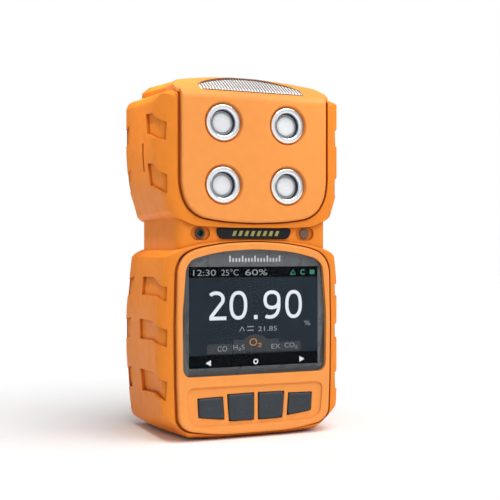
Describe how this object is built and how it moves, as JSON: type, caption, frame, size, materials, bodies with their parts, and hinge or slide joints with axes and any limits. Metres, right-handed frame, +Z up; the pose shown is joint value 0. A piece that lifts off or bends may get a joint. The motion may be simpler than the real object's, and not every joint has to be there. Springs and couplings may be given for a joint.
{
  "type": "portable gas detector",
  "caption": "Handheld gas detector with a waisted grip case, sensor ports in the head, colour display, push buttons, alarm light and spring belt clip.",
  "frame": {"origin": "on the flat foot, midway across it and in line with the middle of the case's depth", "axes": "+Z up the height of the case, the display faces -Y, +X is to the right as the display is read"},
  "size_m": [0.0708, 0.0577, 0.1296],
  "materials": {
    "orange_rubber": "satin soft-touch overmould",
    "orange_plastic": "satin moulded",
    "black_plate": "gloss",
    "chrome": "polished",
    "filter_white": "sintered PTFE",
    "seal_black": "matt",
    "seal_grey": "matt foam",
    "holder_black": "matt moulded",
    "cell_white": "satin moulded",
    "cell_red": "drawn can",
    "cell_blue": "satin moulded",
    "cell_yellow": "satin moulded",
    "board_green": "solder mask",
    "chip_black": "matt epoxy",
    "steel": "satin",
    "dark_steel": "black oxide",
    "brass": "knurled",
    "polyimide": "polyimide film",
    "lens_clear": "clear ribbed",
    "led_white": "moulded",
    "window_clear": "gloss, hard coated",
    "mask_grey": "screen printed",
    "lcd_dark": "polariser film",
    "frame_silver": "stamped",
    "guide_clear": "moulded acrylic",
    "button_grey": "matt silicone",
    "switch_black": "moulded",
    "socket_metal": "plated",
    "cover_orange": "matt",
    "indicator": "diffusing",
    "battery_blue": "shrink sleeve",
    "motor_metal": "drawn can",
    "weight_metal": "sintered"
  },
  "bodies": {
    "case": {"front_shell": "orange_rubber", "rear_shell": "orange_rubber", "case_gasket": "seal_black", "sensor_cover": "orange_plastic", "fascia": "orange_plastic", "nameplate": "black_plate", "inlet_rings": "chrome", "dust_filters": "filter_white", "inlet_seals": "seal_grey", "sensor_holder": "holder_black", "sensor_oxygen": "cell_white", "sensor_combustible": "cell_red", "sensor_carbon_monoxide": "cell_blue", "sensor_hydrogen_sulfide": "cell_yellow", "sensor_board": "board_green", "sensor_board_parts": "chip_black", "sensor_board_screws": "steel", "cover_screws": "steel", "board_ribbon": "polyimide", "alarm_lens": "lens_clear", "alarm_led_board": "board_green", "alarm_leds": "led_white", "display_window": "window_clear", "display_mask": "mask_grey", "display_gasket": "seal_grey", "lcd_panel": "lcd_dark", "backlight_frame": "frame_silver", "light_guide": "guide_clear", "lcd_flex": "polyimide", "keypad_retainer": "holder_black", "button_switches": "switch_black", "main_board": "board_green", "main_board_parts": "chip_black", "main_board_screws": "steel", "charge_board": "board_green", "charge_socket": "socket_metal", "port_pin": "steel", "sound_port_ring": "steel", "sound_mesh": "dark_steel", "buzzer": "holder_black", "indicator_lens": "indicator", "battery_pack": "battery_blue", "battery_pads": "seal_grey", "battery_bracket": "frame_silver", "vibration_motor": "motor_metal", "case_screws": "dark_steel", "case_inserts": "brass", "clip_base": "steel", "clip_pin": "steel", "clip_spring": "dark_steel", "clip_screws": "dark_steel"},
    "button_left": {"button_left": "button_grey"},
    "button_power": {"button_power": "button_grey"},
    "button_ok": {"button_ok": "button_grey"},
    "button_right": {"button_right": "button_grey"},
    "port_cover": {"port_cover": "cover_orange"},
    "clip_lever": {"clip_lever": "steel"},
    "vibration_weight": {"vibration_weight": "weight_metal"}
  },
  "joints": [
    {"name": "button_left_press", "type": "slide", "parent": "case", "child": "button_left", "axis": [0, 1, 0], "range_m": [0, 0.0005], "stiffness_N_per_m": 1500, "springref_m": -0.0004},
    {"name": "button_power_press", "type": "slide", "parent": "case", "child": "button_power", "axis": [0, 1, 0], "range_m": [0, 0.0005], "stiffness_N_per_m": 1500, "springref_m": -0.0004},
    {"name": "button_ok_press", "type": "slide", "parent": "case", "child": "button_ok", "axis": [0, 1, 0], "range_m": [0, 0.0005], "stiffness_N_per_m": 1500, "springref_m": -0.0004},
    {"name": "button_right_press", "type": "slide", "parent": "case", "child": "button_right", "axis": [0, 1, 0], "range_m": [0, 0.0005], "stiffness_N_per_m": 1500, "springref_m": -0.0004},
    {"name": "port_cover_hinge", "type": "hinge", "parent": "case", "child": "port_cover", "pos_m": [0, 0.02215, 0.0137], "axis": [1, 0, 0], "range_deg": [0, 100]},
    {"name": "clip_hinge", "type": "hinge", "parent": "case", "child": "clip_lever", "pos_m": [0, 0.0282, 0.093], "axis": [1, 0, 0], "range_deg": [0, 14], "stiffness_Nm_per_rad": 0.4, "springref_deg": -28.65},
    {"name": "vibration_spin", "type": "hinge", "parent": "case", "child": "vibration_weight", "pos_m": [0, 0.01, 0.072], "axis": [1, 0, 0], "continuous": true}
  ]
}
